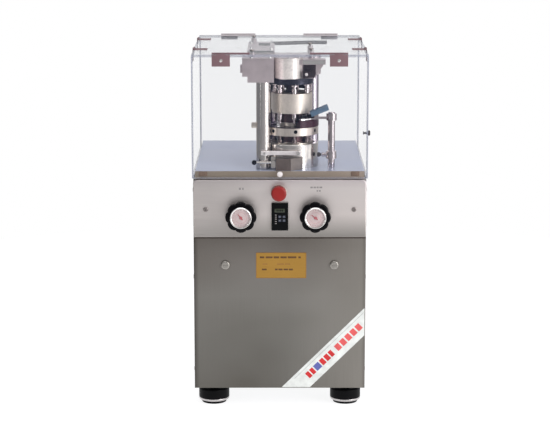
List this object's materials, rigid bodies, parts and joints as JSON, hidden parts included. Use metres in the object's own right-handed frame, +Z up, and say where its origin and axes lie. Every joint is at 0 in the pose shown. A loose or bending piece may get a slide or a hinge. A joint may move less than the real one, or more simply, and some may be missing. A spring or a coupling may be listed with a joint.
{
  "type": "tablet press",
  "caption": "Bench-height rotary tablet press: steel cabinet with handwheels and keypad, below a clear hinged guard box over a punch turret, columns, cams, feeder and chute.",
  "frame": {"origin": "bottom centre of the whole machine's bounding box, on the floor", "axes": "+X to the right seen from the front, +Y from the control panel towards the back, +Z up"},
  "size_m": [0.5296, 0.653, 1.0456],
  "materials": {
    "cabinet_steel": "brushed, 240 grit",
    "panel_steel": "satin",
    "door_steel": "brushed, warm grey",
    "worktop_steel": "polished",
    "polished_steel": "polished",
    "satin_steel": "fine turned satin",
    "tool_steel": "ground",
    "dark_steel": "blackened",
    "cast_housing": "painted casting",
    "frame_tube": "mill finish",
    "bronze": "machined",
    "maroon_metal": "gloss",
    "hinge_steel": "satin",
    "clear_acrylic": "clear",
    "tinted_sheet": "clear blue-grey",
    "black_plastic": "moulded",
    "key_plastic": "moulded",
    "red_plastic": "gloss",
    "amber_plate": "anodised",
    "foot_rubber": "matt"
  },
  "bodies": {
    "frame": {"cabinet_frame": "frame_tube", "side_panels": "cabinet_steel", "rear_panel": "cabinet_steel", "cable_gland": "black_plastic", "control_panel": "panel_steel", "keypad_body": "black_plastic", "levelling_feet": "foot_rubber", "worktop": "worktop_steel", "base_drum": "polished_steel", "scraper_bar": "polished_steel", "chute": "satin_steel", "columns": "polished_steel", "head_casting": "satin_steel", "upper_cam": "dark_steel", "gear_motor": "cast_housing", "feed_frame": "maroon_metal", "feeder_post": "polished_steel", "hopper_chute": "tinted_sheet", "guard_top": "clear_acrylic", "hinge_fixed_leaves": "hinge_steel", "fasteners": "tool_steel"},
    "turret": {"spindle": "dark_steel", "upper_turret": "satin_steel", "die_table": "polished_steel", "lower_guide": "satin_steel", "dies": "tool_steel", "worm_wheel": "bronze"},
    "upper_punch_1": {"upper_punch_1": "tool_steel"},
    "lower_punch_1": {"lower_punch_1": "tool_steel"},
    "upper_punch_2": {"upper_punch_2": "tool_steel"},
    "lower_punch_2": {"lower_punch_2": "tool_steel"},
    "upper_punch_3": {"upper_punch_3": "tool_steel"},
    "lower_punch_3": {"lower_punch_3": "tool_steel"},
    "upper_punch_4": {"upper_punch_4": "tool_steel"},
    "lower_punch_4": {"lower_punch_4": "tool_steel"},
    "upper_punch_5": {"upper_punch_5": "tool_steel"},
    "lower_punch_5": {"lower_punch_5": "tool_steel"},
    "upper_punch_6": {"upper_punch_6": "tool_steel"},
    "lower_punch_6": {"lower_punch_6": "tool_steel"},
    "upper_punch_7": {"upper_punch_7": "tool_steel"},
    "lower_punch_7": {"lower_punch_7": "tool_steel"},
    "worm_shaft": {"worm_shaft": "tool_steel"},
    "pressure_roller_upper": {"pressure_roller_upper": "tool_steel"},
    "pressure_roller_lower": {"pressure_roller_lower": "tool_steel"},
    "handwheel_left": {"handwheel_left": "black_plastic"},
    "handwheel_right": {"handwheel_right": "black_plastic"},
    "estop_button": {"estop_button": "red_plastic"},
    "key_start": {"key_start": "key_plastic"},
    "key_stop": {"key_stop": "key_plastic"},
    "key_down": {"key_down": "key_plastic"},
    "key_up": {"key_up": "key_plastic"},
    "service_door": {"service_door": "door_steel", "nameplate": "amber_plate"},
    "door_lock_left": {"door_lock_left": "tool_steel"},
    "door_lock_right": {"door_lock_right": "tool_steel"},
    "clamp_lever": {"clamp_lever": "tool_steel"},
    "window_front": {"window_front": "clear_acrylic"},
    "window_right": {"window_right": "clear_acrylic"},
    "window_rear": {"window_rear": "clear_acrylic"},
    "window_left": {"window_left": "clear_acrylic"}
  },
  "joints": [
    {"name": "turret_spin", "type": "hinge", "parent": "frame", "child": "turret", "pos_m": [0.0248, -0.1665, 0.8], "axis": [0, 0, 1], "continuous": true},
    {"name": "upper_punch_1_slide", "type": "slide", "parent": "turret", "child": "upper_punch_1", "axis": [0, 0, 1], "range_m": [-0.018, 0]},
    {"name": "lower_punch_1_slide", "type": "slide", "parent": "turret", "child": "lower_punch_1", "axis": [0, 0, 1], "range_m": [0, 0.015]},
    {"name": "upper_punch_2_slide", "type": "slide", "parent": "turret", "child": "upper_punch_2", "axis": [0, 0, 1], "range_m": [-0.018, 0]},
    {"name": "lower_punch_2_slide", "type": "slide", "parent": "turret", "child": "lower_punch_2", "axis": [0, 0, 1], "range_m": [0, 0.015]},
    {"name": "upper_punch_3_slide", "type": "slide", "parent": "turret", "child": "upper_punch_3", "axis": [0, 0, 1], "range_m": [-0.018, 0]},
    {"name": "lower_punch_3_slide", "type": "slide", "parent": "turret", "child": "lower_punch_3", "axis": [0, 0, 1], "range_m": [0, 0.015]},
    {"name": "upper_punch_4_slide", "type": "slide", "parent": "turret", "child": "upper_punch_4", "axis": [0, 0, 1], "range_m": [-0.018, 0]},
    {"name": "lower_punch_4_slide", "type": "slide", "parent": "turret", "child": "lower_punch_4", "axis": [0, 0, 1], "range_m": [0, 0.015]},
    {"name": "upper_punch_5_slide", "type": "slide", "parent": "turret", "child": "upper_punch_5", "axis": [0, 0, 1], "range_m": [-0.018, 0]},
    {"name": "lower_punch_5_slide", "type": "slide", "parent": "turret", "child": "lower_punch_5", "axis": [0, 0, 1], "range_m": [0, 0.015]},
    {"name": "upper_punch_6_slide", "type": "slide", "parent": "turret", "child": "upper_punch_6", "axis": [0, 0, 1], "range_m": [-0.018, 0]},
    {"name": "lower_punch_6_slide", "type": "slide", "parent": "turret", "child": "lower_punch_6", "axis": [0, 0, 1], "range_m": [0, 0.015]},
    {"name": "upper_punch_7_slide", "type": "slide", "parent": "turret", "child": "upper_punch_7", "axis": [0, 0, 1], "range_m": [-0.018, 0]},
    {"name": "lower_punch_7_slide", "type": "slide", "parent": "turret", "child": "lower_punch_7", "axis": [0, 0, 1], "range_m": [0, 0.015]},
    {"name": "worm_spin", "type": "hinge", "parent": "frame", "child": "worm_shaft", "pos_m": [0.0248, -0.093, 0.59], "axis": [1, 0, 0], "continuous": true},
    {"name": "pressure_roller_upper_spin", "type": "hinge", "parent": "frame", "child": "pressure_roller_upper", "pos_m": [0.0248, -0.1165, 0.9703], "axis": [0, 1, 0], "continuous": true},
    {"name": "pressure_roller_lower_spin", "type": "hinge", "parent": "frame", "child": "pressure_roller_lower", "pos_m": [0.0248, -0.1165, 0.7003], "axis": [0, 1, 0], "continuous": true},
    {"name": "handwheel_left_turn", "type": "hinge", "parent": "frame", "child": "handwheel_left", "pos_m": [-0.1222, -0.3115, 0.575], "axis": [0, 1, 0], "range_deg": [-1080, 1080]},
    {"name": "handwheel_right_turn", "type": "hinge", "parent": "frame", "child": "handwheel_right", "pos_m": [0.0918, -0.3115, 0.575], "axis": [0, 1, 0], "range_deg": [-1080, 1080]},
    {"name": "estop_press", "type": "slide", "parent": "frame", "child": "estop_button", "axis": [0, 1, 0], "range_m": [0, 0.004], "stiffness_N_per_m": 1500},
    {"name": "key_start_press", "type": "slide", "parent": "frame", "child": "key_start", "axis": [0, 1, 0], "range_m": [0, 0.0008], "stiffness_N_per_m": 500},
    {"name": "key_stop_press", "type": "slide", "parent": "frame", "child": "key_stop", "axis": [0, 1, 0], "range_m": [0, 0.0008], "stiffness_N_per_m": 500},
    {"name": "key_down_press", "type": "slide", "parent": "frame", "child": "key_down", "axis": [0, 1, 0], "range_m": [0, 0.0008], "stiffness_N_per_m": 500},
    {"name": "key_up_press", "type": "slide", "parent": "frame", "child": "key_up", "axis": [0, 1, 0], "range_m": [0, 0.0008], "stiffness_N_per_m": 500},
    {"name": "service_door_pull", "type": "slide", "parent": "frame", "child": "service_door", "axis": [0, -1, 0], "range_m": [0, 0.12]},
    {"name": "door_lock_left_turn", "type": "hinge", "parent": "service_door", "child": "door_lock_left", "pos_m": [-0.1682, -0.2815, 0.428], "axis": [0, 1, 0], "range_deg": [0, 90]},
    {"name": "door_lock_right_turn", "type": "hinge", "parent": "service_door", "child": "door_lock_right", "pos_m": [0.1478, -0.2815, 0.428], "axis": [0, 1, 0], "range_deg": [0, 90]},
    {"name": "clamp_lever_turn", "type": "hinge", "parent": "frame", "child": "clamp_lever", "pos_m": [-0.0292, -0.2535, 0.725], "axis": [0, 1, 0], "range_deg": [0, 24]},
    {"name": "window_front_open", "type": "hinge", "parent": "frame", "child": "window_front", "pos_m": [-0.0102, -0.279, 1.043], "axis": [-1, 0, 0], "range_deg": [0, 110]},
    {"name": "window_right_open", "type": "hinge", "parent": "frame", "child": "window_right", "pos_m": [0.2403, 0.0135, 1.043], "axis": [0, -1, 0], "range_deg": [0, 110]},
    {"name": "window_rear_open", "type": "hinge", "parent": "frame", "child": "window_rear", "pos_m": [-0.0102, 0.306, 1.043], "axis": [1, 0, 0], "range_deg": [0, 110]},
    {"name": "window_left_open", "type": "hinge", "parent": "frame", "child": "window_left", "pos_m": [-0.2607, 0.0135, 1.043], "axis": [0, 1, 0], "range_deg": [0, 110]}
  ],
  "couplings": [
    {"joint": "worm_spin", "follows": "turret_spin", "ratio": 30}
  ]
}
